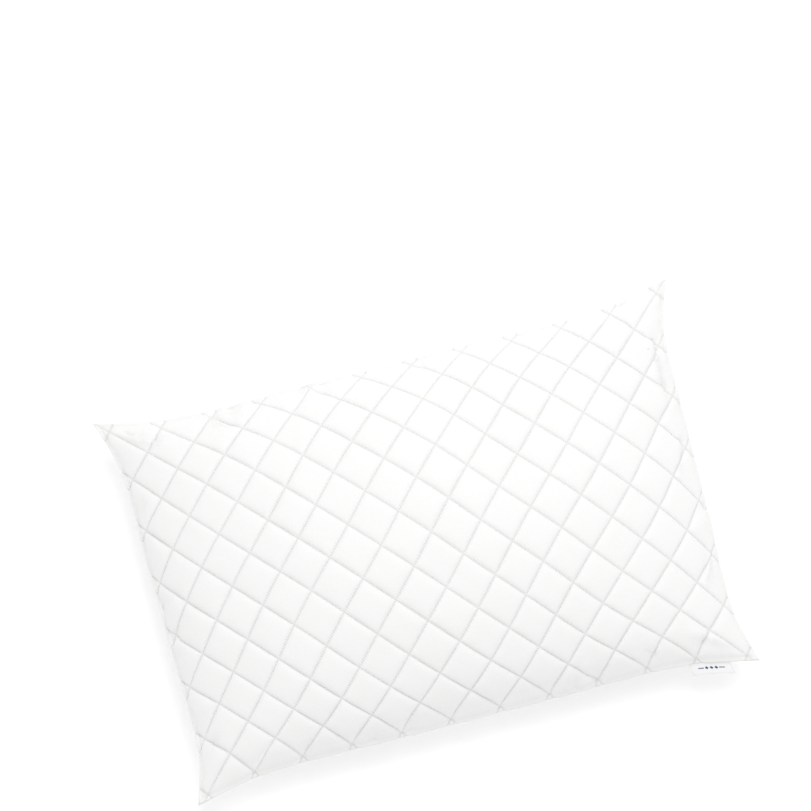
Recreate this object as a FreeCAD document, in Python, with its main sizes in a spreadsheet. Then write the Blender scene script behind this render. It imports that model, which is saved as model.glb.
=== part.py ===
"""A quilted, fibre-filled bed pillow as an assembly of its cloth layers, threads, fill and label.

Frame: +X along the pillow's long side, +Y towards its far long side, +Z up. The origin is on
the surface that the pillow lies on, under its centre. Sizes are in millimetres.
"""

import FreeCAD, Part  # noqa: E401
import math
import os

import Sketcher

# The name, value and meaning of each driving dimension.
SIZES = [
    ("tip_length", 722.0, "corner tip to corner tip along X"),
    ("tip_width", 490.0, "corner tip to corner tip along Y"),
    ("end_pinch", 20.0, "how far each short side draws in at its middle"),
    ("side_pinch", 20.0, "how far each long side draws in at its middle"),
    ("seam_height", 55.0, "the perimeter seam above the bed"),
    ("crown_rise", 95.0, "the top of the pillow above the seam"),
    ("belly_drop", 70.0, "the underside's full depth below the seam, before the bed flattens it"),
    ("rim_angle", 76.0, "how far round its arc each panel has turned at the seam, in degrees"),
    ("cloth_thick", 1.0, "outer cloth"),
    ("wadding_thick", 5.0, "quilting wadding"),
    ("backing_thick", 1.0, "backing cloth"),
    ("thread_thick", 0.6, "height of a quilting thread"),
    ("thread_wide", 1.6, "width of a quilting thread"),
    ("cell_length", 63.0, "quilted diamond, along X"),
    ("cell_width", 67.5, "quilted diamond, along Y"),
    ("cell_shift", -9.0, "the middle crossing of the quilting, along Y"),
    ("quilt_margin", 10.0, "unquilted edge, inwards from where each side is most drawn in"),
    ("clearance", 0.1, "gap between pieces that lie in one another"),
    ("allowance_inset", 2.0, "the turned-in allowance, inwards from the backing"),
    ("allowance_wide", 10.0, "turned-in seam allowance"),
    ("allowance_thick", 2.0, "both panels' allowances, sewn flat together"),
    ("corner_trim", 60.0, "radius to which the allowance is trimmed at each corner"),
    ("sewing_inset", 2.0, "seam stitching, inwards from the allowance's outer edge"),
    ("sewing_wide", 1.0, "width of the seam stitching"),
    ("sewing_thick", 0.4, "height of the seam stitching above the allowance"),
    ("overlock_wide", 4.0, "overlocked edge of the allowance"),
    ("overlock_thick", 0.5, "overlock thread"),
    ("closing_length", 200.0, "filling opening, closed by hand on the far side"),
    ("closing_pitch", 8.0, "from one closing stitch to the next"),
    ("closing_reach", 8.0, "height of a closing stitch across the seam"),
    ("closing_wide", 0.8, "width of a closing stitch"),
    ("label_inset", 66.0, "the label's middle, inwards along X from the right-hand corners"),
    ("label_wide", 50.0, "label along the seam"),
    ("label_drop", 15.0, "how far the label stands out of the seam"),
    ("tape_thick", 0.4, "one layer of the label's tape"),
    ("tape_gap", 0.2, "between the label's two layers"),
    ("motif_long", 7.0, "one woven bar of the label's motif"),
    ("motif_high", 2.4, "height of a woven bar"),
    ("motif_step", 10.0, "from one woven bar to the next"),
    ("motif_thick", 0.15, "how far the woven bars stand proud"),
]
OUTLINE_POWER = 4  # how squarely each side runs before it turns out to its corners
LONG_SPANS = 16  # stretches in a panel's surface along X
WIDE_SPANS = 12  # stretches in a panel's surface along Y
SIDE_SPANS = 24  # stretches in each side of the seam's flat outline
MOTIF_BARS = 3

doc = FreeCAD.newDocument("Pillow")
nodes = []


def make_sheet():
    """The spreadsheet with one aliased cell for each driving dimension."""
    new_sheet = doc.addObject("Spreadsheet::Sheet", "Sizes")
    for row, (alias, value, meaning) in enumerate(SIZES, start=1):
        new_sheet.set(f"A{row}", meaning)
        new_sheet.set(f"B{row}", str(value))
        new_sheet.setAlias(f"B{row}", alias)
    doc.recompute()
    return new_sheet


sheet = make_sheet()


def size(alias):
    """The value of one driving dimension."""
    return float(sheet.get(alias))


def name_node(thing, label):
    """Marks an object as one of the sub-parts, under the name of its file."""
    thing.Label = label
    nodes.append(thing)
    return thing


def feature(name, shape):
    """A helper object that holds a shape worked out from the sheet."""
    thing = doc.addObject("Part::Feature", name)
    thing.Shape = shape
    thing.Placement = FreeCAD.Placement()
    return thing


def boolean(kind, name, base, tool):
    """A Part::Cut, Part::Fuse or Part::Common of two objects."""
    thing = doc.addObject("Part::" + kind, name)
    thing.Base = base
    thing.Tool = tool
    return thing


def block(name, **bound):
    """A Part::Box whose size and place are bound to the sheet, by property or by centre_x and so on."""
    box = doc.addObject("Part::Box", name)
    for side in ("Length", "Width", "Height"):
        box.setExpression(side, bound[side])
    for axis, side in (("x", "Length"), ("y", "Width"), ("z", "Height")):
        if axis in bound:
            box.setExpression(f"Placement.Base.{axis}", bound[axis])
        else:
            box.setExpression(f"Placement.Base.{axis}", f"-({bound[side]}) / 2")
    return box


# ---- the panels' curved forms ----

DEPTHS = {
    "outside": "0",
    "cloth": "Sizes.cloth_thick",
    "wadding": "Sizes.cloth_thick + Sizes.wadding_thick",
    "backing": "Sizes.cloth_thick + Sizes.wadding_thick + Sizes.backing_thick",
    "bobbin": "Sizes.cloth_thick + Sizes.wadding_thick + Sizes.backing_thick + Sizes.thread_thick",
    "fill": "Sizes.cloth_thick + Sizes.wadding_thick + Sizes.backing_thick + Sizes.thread_thick"
            " + Sizes.clearance",
    "thread": "-Sizes.thread_thick",
}


def depth_of(level):
    """How deep the far side of a layer lies under the outer surface, in millimetres."""
    return sum(
        (-1 if term.startswith("-") else 1) * size(term.split(".")[1])
        for term in DEPTHS[level].split(" + ")
        if "." in term
    )


def outline_point(u, v, inset):
    """The plan position of a panel's point (u, v), each from -1 to 1, on a form this far inside."""
    reach_x = size("tip_length") / 2 - inset - size("end_pinch") * (1 - abs(v) ** OUTLINE_POWER)
    reach_y = size("tip_width") / 2 - inset - size("side_pinch") * (1 - abs(u) ** OUTLINE_POWER)
    return u * reach_x, v * reach_y


def rounded(turn):
    """The place from -1 to 1 and height from 0 to 1 at a share of the way round a panel's arc."""
    rim = math.radians(size("rim_angle"))
    angle = turn * rim
    return math.sin(angle) / math.sin(rim), (math.cos(angle) - math.cos(rim)) / (1 - math.cos(rim))


def panel_surface(inset, rise):
    """The smooth face of one panel: up from the seam for a rise above 0, down for one below."""
    rows = []
    for i in range(LONG_SPANS + 1):
        u, high_u = rounded(2 * i / LONG_SPANS - 1)
        row = []
        for j in range(WIDE_SPANS + 1):
            v, high_v = rounded(2 * j / WIDE_SPANS - 1)
            x, y = outline_point(u, v, inset)
            row.append(FreeCAD.Vector(x, y, size("seam_height") + rise * high_u * high_v))
        rows.append(row)
    surface = Part.BSplineSurface()
    surface.interpolate(rows)
    return surface


def panel_solid(inset, rise):
    """The closed solid between a panel's surface and the seam's plane."""
    dome = panel_surface(inset, rise).toShape()
    floor = Part.Face(Part.Wire(Part.__sortEdges__(dome.Edges)))
    solid = Part.makeSolid(Part.makeShell([dome, floor]))
    if solid.Volume < 0:
        solid.reverse()
    return solid


def top_form(level):
    """The upper panel's solid, down to one layer's depth."""
    depth = depth_of(level)
    return feature(f"top_form_{level}", panel_solid(depth, size("crown_rise") - depth))


def bottom_form(level):
    """The lower panel's solid, pressed flat where it lies on the bed."""
    depth = depth_of(level)
    full = feature(f"bottom_full_{level}", panel_solid(depth, depth - size("belly_drop")))
    below = block(
        f"bed_{level}",
        Length="2 * Sizes.tip_length",
        Width="2 * Sizes.tip_width",
        Height="Sizes.belly_drop",
        z=f"max({DEPTHS[level]}; 0) - Sizes.belly_drop",
    )
    return boolean("Cut", f"bottom_form_{level}", full, below)


LEVELS = ("thread", "outside", "cloth", "wadding", "backing", "bobbin", "fill")
tops = {level: top_form(level) for level in LEVELS}
bottoms = {level: bottom_form(level) for level in LEVELS}


# ---- the label, and the slot in the seam that holds its ends ----

def label_frame():
    """The label's placement: on the near seam, turned to run along it."""
    reach_x = size("tip_length") / 2
    x = reach_x - size("label_inset")
    u = x / reach_x
    inward = size("side_pinch") * (1 - u ** OUTLINE_POWER)
    lean = math.atan(OUTLINE_POWER * size("side_pinch") * u ** (OUTLINE_POWER - 1) / reach_x)
    place = FreeCAD.Vector(x, inward - size("tip_width") / 2, size("seam_height"))
    return FreeCAD.Placement(place, FreeCAD.Rotation(FreeCAD.Vector(0, 0, 1), -math.degrees(lean)))


LABEL_TAIL = "(Sizes.cloth_thick + Sizes.wadding_thick + Sizes.backing_thick)"


def make_label_tape():
    """The woven tape, folded over at its free edge, with both ends held in the seam."""
    body = doc.addObject("PartDesign::Body", "label_tape")
    side = next(f for f in body.Origin.OriginFeatures if f.Role == "YZ_Plane")
    sketch = body.newObject("Sketcher::SketchObject", "tape_profile")
    sketch.AttachmentSupport = (side, [""])
    sketch.MapMode = "FlatFace"
    rough = [(-10, 1), (5, 1), (5, 0.4), (-9, 0.4), (-9, -0.4), (5, -0.4), (5, -1), (-10, -1)]
    points = [FreeCAD.Vector(y, z, 0) for y, z in rough]
    for start, end in zip(points, points[1:] + points[:1]):
        sketch.addGeometry(Part.LineSegment(start, end), False)
    count = len(points)
    for i in range(count):
        sketch.addConstraint(Sketcher.Constraint("Coincident", i, 2, (i + 1) % count, 1))
    half = "(Sizes.tape_thick + Sizes.tape_gap / 2)"
    places = [
        (0, "-Sizes.label_drop", half),
        (1, LABEL_TAIL, half),
        (2, LABEL_TAIL, "Sizes.tape_gap / 2"),
        (3, "-Sizes.label_drop + Sizes.tape_thick", "Sizes.tape_gap / 2"),
        (4, "-Sizes.label_drop + Sizes.tape_thick", "-Sizes.tape_gap / 2"),
        (5, LABEL_TAIL, "-Sizes.tape_gap / 2"),
        (6, LABEL_TAIL, f"-{half}"),
        (7, "-Sizes.label_drop", f"-{half}"),
    ]
    for edge, along, up in places:
        for kind, value in (("DistanceX", along), ("DistanceY", up)):
            index = sketch.addConstraint(Sketcher.Constraint(kind, edge, 1, 1.0))
            sketch.setExpression(f"Constraints[{index}]", value)
    pad = body.newObject("PartDesign::Pad", "tape_pad")
    pad.Profile = sketch
    pad.Midplane = True
    pad.setExpression("Length", "Sizes.label_wide")
    body.Placement = label_frame()
    return name_node(body, "label_tape")


def make_label_motif():
    """Raised woven bars on the tape's upper side, standing for its printed design."""
    bars = []
    for k in range(MOTIF_BARS):
        bar = doc.addObject("Part::Box", f"motif_bar_{k + 1}")
        bar.setExpression("Length", "Sizes.motif_long")
        bar.setExpression("Width", "Sizes.motif_high")
        bar.setExpression("Height", "Sizes.motif_thick")
        offset = k - (MOTIF_BARS - 1) / 2
        bar.setExpression("Placement.Base.x", f"{offset} * Sizes.motif_step - Sizes.motif_long / 2")
        bar.setExpression("Placement.Base.y", "-(Sizes.label_drop + Sizes.motif_high) / 2")
        bar.setExpression("Placement.Base.z", "Sizes.tape_thick + Sizes.tape_gap / 2")
        bars.append(bar)
    motif = doc.addObject("Part::MultiFuse", "label_motif")
    motif.Shapes = bars
    motif.Placement = label_frame()
    return name_node(motif, "label_motif")


make_label_tape()
make_label_motif()
slot = block(
    "label_slot",
    Length="Sizes.label_wide + 2 * Sizes.clearance",
    Width=f"4 * {LABEL_TAIL}",
    Height="2 * Sizes.tape_thick + Sizes.tape_gap + 2 * Sizes.clearance",
)
slot_placed = feature("label_slot_placed", Part.Shape())


def place_slot():
    """Turns the slot to the label's own placement."""
    doc.recompute()
    shape = slot.Shape.copy()
    shape.Placement = label_frame().multiply(slot.Placement)
    slot_placed.Shape = shape


place_slot()


# ---- the layers of both panels ----

def make_layer(side, forms, outer, inner, label):
    """One cloth or wadding layer of a panel, with the label's slot cut in its rim."""
    layer = boolean("Cut", f"{side}_{outer}_to_{inner}", forms[outer], forms[inner])
    return name_node(boolean("Cut", label, layer, slot_placed), label)


for side, forms in (("top", tops), ("bottom", bottoms)):
    make_layer(side, forms, "outside", "cloth", f"{side}_face_fabric")
    make_layer(side, forms, "cloth", "wadding", f"{side}_wadding")
    make_layer(side, forms, "wadding", "backing", f"{side}_backing")


# ---- the quilting threads ----

def stitched_run(k, slope):
    """The start and end, in X and Y, of one line of quilting inside the quilted rectangle."""
    half_x = size("tip_length") / 2 - size("end_pinch") - size("quilt_margin")
    half_y = size("tip_width") / 2 - size("side_pinch") - size("quilt_margin")
    middle = k * size("cell_length")
    at_edges = sorted(middle + (edge - size("cell_shift")) / slope for edge in (-half_y, half_y))
    start = max(-half_x, at_edges[0])
    end = min(half_x, at_edges[1])
    return [(x, size("cell_shift") + slope * (x - middle)) for x in (start, end)]


def needle_paths():
    """Upright strips along every line of the quilting, both families joined at their crossings."""
    cell_x = size("cell_length")
    cell_y = size("cell_width")
    wide = size("thread_wide")
    high = 2 * (size("seam_height") + size("crown_rise"))
    lines = math.ceil((size("tip_length") / cell_x + size("tip_width") / cell_y) / 2) + 1
    shortest = math.hypot(cell_x, cell_y) / 2
    strips = []
    for slope in (cell_y / cell_x, -cell_y / cell_x):
        for k in range(-lines, lines + 1):
            (x1, y1), (x2, y2) = stitched_run(k, slope)
            long = math.hypot(x2 - x1, y2 - y1)
            if x2 <= x1 or long < shortest:
                continue
            strip = Part.makeBox(long, wide, high, FreeCAD.Vector(0, -wide / 2, -high / 4))
            strip.rotate(
                FreeCAD.Vector(0, 0, 0),
                FreeCAD.Vector(0, 0, 1),
                math.degrees(math.atan2(y2 - y1, x2 - x1)),
            )
            strip.translate(FreeCAD.Vector(x1, y1, 0))
            strips.append(strip)
    return strips[0].fuse(strips[1:])


needles = feature("needle_paths", needle_paths())
for side, forms in (("top", tops), ("bottom", bottoms)):
    proud = boolean("Cut", f"{side}_thread_skin", forms["thread"], forms["outside"])
    name_node(boolean("Common", f"{side}_quilting_thread", proud, needles), f"{side}_quilting_thread")
    inside = boolean("Cut", f"{side}_bobbin_skin", forms["backing"], forms["bobbin"])
    name_node(boolean("Common", f"{side}_bobbin_thread", inside, needles), f"{side}_bobbin_thread")


# ---- the seam, inside ----

def outline_side(start, end, inset, height):
    """One side of the pillow's flat outline, from corner to corner, at a height."""
    points = []
    for i in range(SIDE_SPANS + 1):
        share = i / SIDE_SPANS
        u = start[0] + (end[0] - start[0]) * share
        v = start[1] + (end[1] - start[1]) * share
        points.append(FreeCAD.Vector(*outline_point(u, v, inset), height))
    curve = Part.BSplineCurve()
    curve.interpolate(points)
    return curve.toShape()


def plan_prism(inset, low, high):
    """The pillow's outline drawn in by an inset, with trimmed corners, between two heights."""
    corners = [(-1, -1), (1, -1), (1, 1), (-1, 1)]
    ends = corners[1:] + corners[:1]
    sides = [outline_side(start, end, inset, low) for start, end in zip(corners, ends)]
    prism = Part.Face(Part.Wire(sides)).extrude(FreeCAD.Vector(0, 0, high - low))
    upright = [edge for edge in prism.Edges if edge.BoundBox.ZLength > (high - low) / 2]
    return prism.makeFillet(size("corner_trim") - inset, upright)


def ring(outer_inset, inner_inset, half_height):
    """A flat ring that follows the seam, centred on the seam's plane."""
    low = size("seam_height") - half_height
    high = size("seam_height") + half_height
    return plan_prism(outer_inset, low, high).cut(plan_prism(inner_inset, low, high))


allowance_out = depth_of("bobbin") + size("allowance_inset")
allowance_in = allowance_out + size("allowance_wide")
sewing_out = allowance_out + size("sewing_inset")
half_allowance = size("allowance_thick") / 2
allowance = ring(allowance_out, allowance_in, half_allowance)
stitch_band = ring(sewing_out, sewing_out + size("sewing_wide"), half_allowance + size("sewing_thick"))
edge_band = ring(
    allowance_in - size("overlock_wide"),
    allowance_in + size("overlock_thick"),
    half_allowance + size("overlock_thick"),
)
seam_space = ring(
    depth_of("outside"),
    allowance_in + size("overlock_thick") + size("clearance"),
    half_allowance + size("overlock_thick") + size("clearance"),
)
allowance_shape = feature("seam_allowance", allowance)
name_node(allowance_shape, "seam_allowance")
name_node(
    boolean("Cut", "seam_lockstitch_thread", feature("stitch_band", stitch_band), allowance_shape),
    "seam_lockstitch_thread",
)
name_node(
    boolean("Cut", "seam_overlock_thread", feature("edge_band", edge_band), allowance_shape),
    "seam_overlock_thread",
)


# ---- the fill ----

fill_whole = boolean("Fuse", "fill_whole", tops["fill"], bottoms["fill"])
fill = boolean("Cut", "fibre_fill", fill_whole, feature("seam_space", seam_space))
name_node(fill, "fibre_fill")


# ---- the hand-sewn closing of the far seam ----

def closing_strips():
    """Thin upright strips, one for each closing stitch, across the far seam."""
    pitch = size("closing_pitch")
    wide = size("closing_wide")
    reach = size("closing_reach")
    count = int(size("closing_length") // pitch)
    deep = size("side_pinch") + 2 * reach
    far = size("tip_width") / 2 - size("side_pinch") - reach
    strips = []
    for k in range(count + 1):
        corner = FreeCAD.Vector(
            (k - count / 2) * pitch - wide / 2,
            far,
            size("seam_height") - reach / 2,
        )
        strips.append(Part.makeBox(wide, deep, reach, corner))
    return Part.makeCompound(strips)


skins = boolean(
    "Fuse",
    "outer_skins",
    doc.getObject("top_thread_skin"),
    doc.getObject("bottom_thread_skin"),
)
strips = feature("closing_strips", closing_strips())
closing = boolean("Common", "closing_stitch_thread", skins, strips)
name_node(closing, "closing_stitch_thread")


# ---- checks and files ----

def check_document():
    """Stops with a message when an object failed or a sub-part isn't a sound solid."""
    for thing in doc.Objects:
        if "Invalid" in thing.State or "Error" in thing.State:
            raise RuntimeError(f"{thing.Label} failed: {thing.State}")
    for thing in nodes:
        if thing.Shape.isNull() or not thing.Shape.isValid() or not thing.Shape.Solids:
            raise RuntimeError(f"{thing.Label} is not a sound solid")


def write_parts():
    """Writes each sub-part to its own STEP file and prints its volume and height."""
    os.makedirs("parts", exist_ok=True)
    for thing in nodes:
        thing.Shape.exportStep(f"parts/{thing.Label}.step")
        box = thing.Shape.BoundBox
        print(
            f"{thing.Label}: {len(thing.Shape.Solids)} solids, {thing.Shape.Volume / 1000:.1f} cm3, "
            f"{box.XLength:.1f} x {box.YLength:.1f} x {box.ZLength:.1f}, from z {box.ZMin:.2f}"
        )


doc.recompute()
check_document()
write_parts()
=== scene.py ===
"""A quilted bed pillow: simulated cover, quilted panels, stitches, seam, fill and label.

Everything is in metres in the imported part's frame: +X along the pillow, +Y across it towards the
long side without the label, +Z up, with the origin on the bed under the pillow's centre.
"""

import logging
import math
from dataclasses import dataclass, field
from enum import Enum

import bmesh
import bpy
import numpy as np
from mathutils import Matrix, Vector


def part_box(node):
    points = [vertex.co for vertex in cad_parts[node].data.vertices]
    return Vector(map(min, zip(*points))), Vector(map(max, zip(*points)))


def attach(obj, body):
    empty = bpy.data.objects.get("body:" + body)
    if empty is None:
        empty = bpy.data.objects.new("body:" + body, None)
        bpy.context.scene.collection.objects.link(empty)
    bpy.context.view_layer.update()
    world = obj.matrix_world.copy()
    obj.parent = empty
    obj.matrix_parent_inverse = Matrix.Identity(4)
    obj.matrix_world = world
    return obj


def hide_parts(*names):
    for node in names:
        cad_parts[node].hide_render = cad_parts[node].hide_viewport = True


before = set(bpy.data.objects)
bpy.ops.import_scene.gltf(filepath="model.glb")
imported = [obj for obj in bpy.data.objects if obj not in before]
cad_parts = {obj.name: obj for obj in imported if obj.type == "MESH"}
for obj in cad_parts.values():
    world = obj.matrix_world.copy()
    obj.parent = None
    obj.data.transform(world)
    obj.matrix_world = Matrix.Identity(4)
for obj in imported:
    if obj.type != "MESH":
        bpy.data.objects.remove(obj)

LOG = logging.getLogger("pillow")
BODY = "root"
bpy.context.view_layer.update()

Array = np.ndarray
Colour = tuple[float, float, float]


class Side(Enum):
    """Which of the cover's two panels a piece belongs to."""

    TOP = "top"
    BOTTOM = "bottom"


class Family(Enum):
    """Which way a line of quilting runs across its panel, by the sign of its slope."""

    RISING = 1
    FALLING = -1


def smooth_step(value: Array | float, low: float, high: float) -> Array:
    """Goes smoothly from 0 at low to 1 at high."""
    share = np.clip((np.asarray(value) - low) / (high - low), 0.0, 1.0)
    return share * share * (3.0 - 2.0 * share)


def unit(vectors: Array) -> Array:
    """Scales each vector to a length of 1."""
    return vectors / np.maximum(np.linalg.norm(vectors, axis=-1, keepdims=True), 1e-12)


def paired_sheets(count: tuple[int, int]) -> tuple[Array, Array, Array]:
    """Numbers the points of two grids that share their rims, and joins them with quads.

    Args:
        count: how many points each grid has along and across.

    Returns:
        The upper and the lower grid's vertex numbers, and the quads of both, facing outwards. The
        lower grid's inner points are numbered after all of the upper grid's.
    """
    upper = np.arange(count[0] * count[1]).reshape(count)
    lower = upper.copy()
    inner = lower[1:-1, 1:-1]
    lower[1:-1, 1:-1] = np.arange(inner.size).reshape(inner.shape) + upper.size
    quads = []
    for ids, order in ((upper, (0, 1, 2, 3)), (lower, (3, 2, 1, 0))):
        corners = [ids[:-1, :-1], ids[1:, :-1], ids[1:, 1:], ids[:-1, 1:]]
        quads.append(np.stack([corners[i].ravel() for i in order], axis=-1))
    return upper, lower, np.concatenate(quads)


@dataclass(frozen=True)
class Cut:
    """The flat size of each panel, from seam to seam."""

    length: float = 0.762
    width: float = 0.508

    def edge_distance(self, flat: Array) -> Array:
        """How far each flat point lies from the nearest seam.

        Args:
            flat: flat points, with x and y last.

        Returns:
            The distances, below 0 outside the cut.
        """
        along = self.length / 2 - np.abs(flat[..., 0])
        across = self.width / 2 - np.abs(flat[..., 1])
        return np.minimum(along, across)


class SmoothWaves:
    """A sum of seeded sine waves over the flat cloth, for unevenness that never repeats."""

    def __init__(self, seed: int, wavelength: float, count: int = 9) -> None:
        """Draws the waves.

        Args:
            seed: fixes the pattern.
            wavelength: the usual distance from crest to crest.
            count: how many waves are added up.
        """
        chance = np.random.default_rng(seed)
        angle = chance.uniform(0, 2 * math.pi, count)
        turns = 2 * math.pi / (wavelength * chance.uniform(0.7, 1.6, count))
        self.pull = np.stack([np.cos(angle), np.sin(angle)]) * turns
        self.start = chance.uniform(0, 2 * math.pi, count)
        self.share = math.sqrt(2.0 / count)

    def at(self, flat: Array) -> Array:
        """The height of the waves, about -1 to 1, at each flat point."""
        return np.sin(flat @ self.pull + self.start).sum(-1) * self.share


# ---- the cover's shape ----


class PanelSurface:
    """A panel's middle surface: a smooth map from its flat cut to its place in space."""

    def __init__(self, grid: Array, cut: Cut, side: Side) -> None:
        """Prepares the control net.

        Args:
            grid: simulated points, shaped (along, across, 3).
            cut: the flat size of the panel.
            side: which panel it is, for the way that its outward normal points.
        """
        self.cut = cut
        self.side = side
        self.shape = (grid.shape[0] - 1, grid.shape[1] - 1)
        net = np.concatenate([2 * grid[:1] - grid[1:2], grid, 2 * grid[-1:] - grid[-2:-1]], axis=0)
        first = 2 * net[:, :1] - net[:, 1:2]
        last = 2 * net[:, -1:] - net[:, -2:-1]
        self.net = np.concatenate([first, net, last], axis=1)

    @staticmethod
    def _weights(share: Array) -> tuple[Array, Array]:
        """The cubic B-spline's weights.

        Args:
            share: places within a cell, 0 to 1.

        Returns:
            The four weights at each place, and their slopes.
        """
        f = share
        value = np.stack([(1 - f) ** 3, 3 * f**3 - 6 * f**2 + 4, -3 * f**3 + 3 * f**2 + 3 * f + 1, f**3])
        slope = np.stack([-3 * (1 - f) ** 2, 9 * f**2 - 12 * f, -9 * f**2 + 6 * f + 3, 3 * f**2])
        return value / 6, slope / 6

    def frame_at(self, flat: Array) -> tuple[Array, Array, Array, Array]:
        """The surface at flat points.

        Args:
            flat: points of the cut, shaped (count, 2).

        Returns:
            Their places, outward normals, and unit directions along and across the cut.
        """
        place = np.zeros((len(flat), 3))
        slopes = [np.zeros_like(place), np.zeros_like(place)]
        cells, shares = [], []
        for axis, span in enumerate((self.cut.length, self.cut.width)):
            position = (flat[:, axis] / span + 0.5) * self.shape[axis]
            cell = np.clip(np.floor(position).astype(int), 0, self.shape[axis] - 1)
            cells.append(cell)
            shares.append(np.clip(position - cell, -0.5, 1.5))
        along, along_slope = self._weights(shares[0])
        across, across_slope = self._weights(shares[1])
        for i in range(4):
            for j in range(4):
                point = self.net[cells[0] + i, cells[1] + j]
                place += point * (along[i] * across[j])[:, None]
                slopes[0] += point * (along_slope[i] * across[j])[:, None]
                slopes[1] += point * (along[i] * across_slope[j])[:, None]
        normal = unit(np.cross(slopes[0], slopes[1]))
        if self.side is Side.BOTTOM:
            normal = -normal
        return place, normal, unit(slopes[0]), unit(slopes[1])


@dataclass
class CoverSimulation:
    """Blows the two flat panels up into a pillow with Blender's cloth."""

    cut: Cut
    step: float = 0.0095
    frames: int = 40
    quality: int = 5
    volume: float = 0.0275
    push: float = 12.0
    point_mass: float = 0.0022
    stretch_stiffness: float = 80.0
    shear_stiffness: float = 20.0
    bend_stiffness: float = 0.05
    rim_turn: float = math.radians(76)
    corner_power: int = 4
    side_pull: float = 0.020
    belly_spare: float = 1.25
    bed_press: float = 0.012
    bed_softness: float = 0.010
    taper: float = 0.018
    ear_pull: float = 0.0045
    ear_reach: int = 5
    ear_start: tuple[float, float] = (0.03, 0.22)
    ear_end: tuple[float, float] = (0.24, 0.75)
    shoulder: tuple[float, float] = (0.003, 0.017)
    shoulder_power: int = 5
    seam_power: int = 9

    def flat_grid(self) -> Array:
        """Spreads the flat points of a panel evenly.

        Returns:
            The points, shaped (along, across, 2).
        """
        spans = [round(self.cut.length / self.step), round(self.cut.width / self.step)]
        along = np.linspace(-self.cut.length / 2, self.cut.length / 2, spans[0] + 1)
        across = np.linspace(-self.cut.width / 2, self.cut.width / 2, spans[1] + 1)
        return np.stack(np.meshgrid(along, across, indexing="ij"), axis=-1)

    def arched(self, shares: Array, reach: float, lifts: Array) -> tuple[Array, Array]:
        """Lays evenly spaced cloth along arches.

        Args:
            shares: places along the cut, -1 to 1.
            reach: half the arch's span.
            lifts: the height of each arch.

        Returns:
            Places across the span, -1 to 1, and heights, 0 to 1, shaped (shares, lifts).
        """
        turn = np.linspace(-self.rim_turn, self.rim_turn, 241)
        across = np.sin(turn) / math.sin(self.rim_turn)
        height = (np.cos(turn) - math.cos(self.rim_turn)) / (1 - math.cos(self.rim_turn))
        places, heights = [], []
        for lift in lifts:
            steps = np.hypot(np.diff(across) * reach, np.diff(height) * lift)
            length = np.concatenate([[0.0], np.cumsum(steps)])
            position = np.interp(shares, 2 * length / length[-1] - 1, turn)
            places.append(np.interp(position, turn, across))
            heights.append(np.interp(position, turn, height))
        return np.stack(places, axis=1), np.stack(heights, axis=1)

    def dome(self, flat: Array, reach: tuple[float, float], rise: float) -> Array:
        """A panel as a plain dome on the seam, with the cloth evenly spaced over it.

        Args:
            flat: the flat points of the panel.
            reach: half the dome's length and width between its corner tips.
            rise: its height, negative for the underside.

        Returns:
            Points shaped (along, across, 3), with the seam at height 0.
        """
        shares = [flat[:, 0, 0] / (self.cut.length / 2), flat[0, :, 1] / (self.cut.width / 2)]
        profiles = [self.arched(shares[k], reach[k], np.array([abs(rise)]))[1][:, 0] for k in range(2)]
        u, high_u = self.arched(shares[0], reach[0], abs(rise) * profiles[1])
        v, high_v = self.arched(shares[1], reach[1], abs(rise) * profiles[0])
        v, high_v = v.T, high_v.T
        x = u * (reach[0] - self.side_pull * (1 - np.abs(v) ** self.corner_power))
        y = v * (reach[1] - self.side_pull * (1 - np.abs(u) ** self.corner_power))
        return np.stack([x, y, rise * high_u * high_v], axis=-1)

    def start_grids(self, flat: Array) -> tuple[Array, Array]:
        """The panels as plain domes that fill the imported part's box, before they are blown up.

        Args:
            flat: the flat points of a panel.

        Returns:
            The top and the bottom panel's points, each shaped (along, across, 3).
        """
        low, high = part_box("top_face_fabric")
        bed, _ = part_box("bottom_face_fabric")
        reach = ((high.x - low.x) / 2, (high.y - low.y) / 2)
        top = self.dome(flat, reach, high.z - low.z)
        bottom = self.dome(flat, reach, (bed.z - low.z) * self.belly_spare)
        seam = np.array([0.0, 0.0, low.z])
        return top + seam, bottom + seam

    def joined_mesh(self, flat: Array) -> tuple[bpy.types.Object, Array, Array]:
        """Builds both panels as one closed mesh that shares the seam's points.

        Args:
            flat: the flat points of a panel.

        Returns:
            The object, and the vertex numbers of the top and bottom panels' grids.
        """
        top, bottom = self.start_grids(flat)
        count = flat.shape[:2]
        top_ids, bottom_ids, quads = paired_sheets(count)
        points = np.concatenate([top.reshape(-1, 3), bottom[1:-1, 1:-1].reshape(-1, 3)])
        cut_top = np.concatenate([flat, np.zeros((*count, 1))], axis=-1)
        cut_points = np.concatenate([cut_top.reshape(-1, 3), cut_top[1:-1, 1:-1].reshape(-1, 3)])
        mesh = bpy.data.meshes.new("cover_simulation")
        mesh.from_pydata(points.tolist(), [], quads.tolist())
        piece = bpy.data.objects.new("cover_simulation", mesh)
        bpy.context.scene.collection.objects.link(piece)
        piece.shape_key_add(name="Basis")
        piece.shape_key_add(name="cut").data.foreach_set("co", cut_points.ravel())
        return piece, top_ids, bottom_ids

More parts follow.
